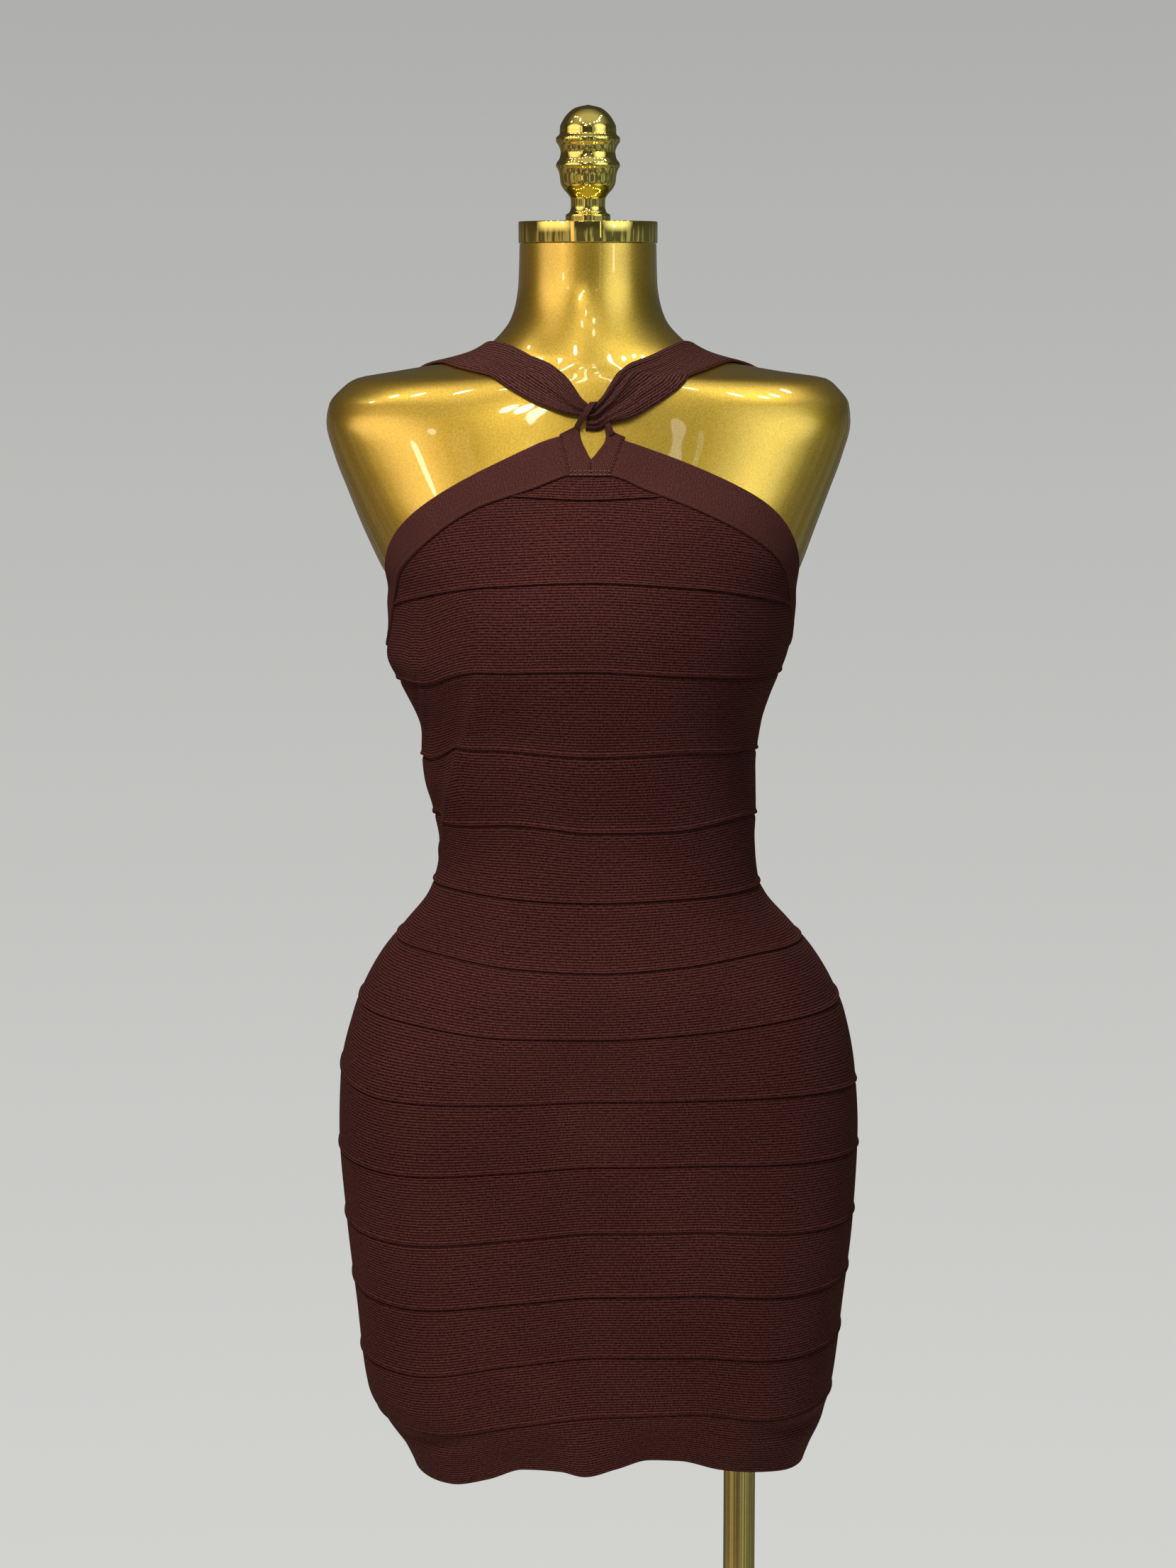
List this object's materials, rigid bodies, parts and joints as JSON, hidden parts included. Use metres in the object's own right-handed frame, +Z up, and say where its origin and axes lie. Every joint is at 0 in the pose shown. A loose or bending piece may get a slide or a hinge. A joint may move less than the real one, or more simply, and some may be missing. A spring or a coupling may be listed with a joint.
{
  "type": "bodycon dress on a limbless dress form",
  "caption": "Short close-fitting bandage-knit dress with halter straps and a keyhole neckline, worn on a gold limbless dress form with a pole stand.",
  "frame": {"origin": "middle of the base plate's underside, on the surface that the stand rests on", "axes": "+Z up, the front of the dress faces -Y, +X is on the right as seen from the front"},
  "size_m": [0.4, 0.4, 1.58],
  "materials": {
    "maroon_knit": "matt ribbed knit",
    "gold_paint": "metallic gold paint under clear gloss",
    "gold_plated": "polished plating"
  },
  "bodies": {
    "root": {"front_strip_01": "maroon_knit", "front_strip_02": "maroon_knit", "front_strip_03": "maroon_knit", "front_strip_04": "maroon_knit", "front_strip_05": "maroon_knit", "front_strip_06": "maroon_knit", "front_strip_07": "maroon_knit", "front_strip_08": "maroon_knit", "front_strip_09": "maroon_knit", "front_strip_10": "maroon_knit", "front_strip_11": "maroon_knit", "front_strip_12": "maroon_knit", "front_strip_13": "maroon_knit", "front_strip_14": "maroon_knit", "front_strip_15": "maroon_knit", "back_strip_03": "maroon_knit", "back_strip_04": "maroon_knit", "back_strip_05": "maroon_knit", "back_strip_06": "maroon_knit", "back_strip_07": "maroon_knit", "back_strip_08": "maroon_knit", "back_strip_09": "maroon_knit", "back_strip_10": "maroon_knit", "back_strip_11": "maroon_knit", "back_strip_12": "maroon_knit", "back_strip_13": "maroon_knit", "back_strip_14": "maroon_knit", "back_strip_15": "maroon_knit", "neck_band_left": "maroon_knit", "neck_band_right": "maroon_knit", "back_band": "maroon_knit", "keyhole_tab_left": "maroon_knit", "keyhole_tab_right": "maroon_knit", "keyhole_loop": "maroon_knit", "strap_left": "maroon_knit", "strap_right": "maroon_knit", "form_torso": "gold_paint", "pole_socket": "gold_paint", "neck_plate": "gold_plated", "finial": "gold_plated", "pole": "gold_plated", "pole_collar": "gold_plated", "base_plate": "gold_plated"}
  },
  "joints": []
}
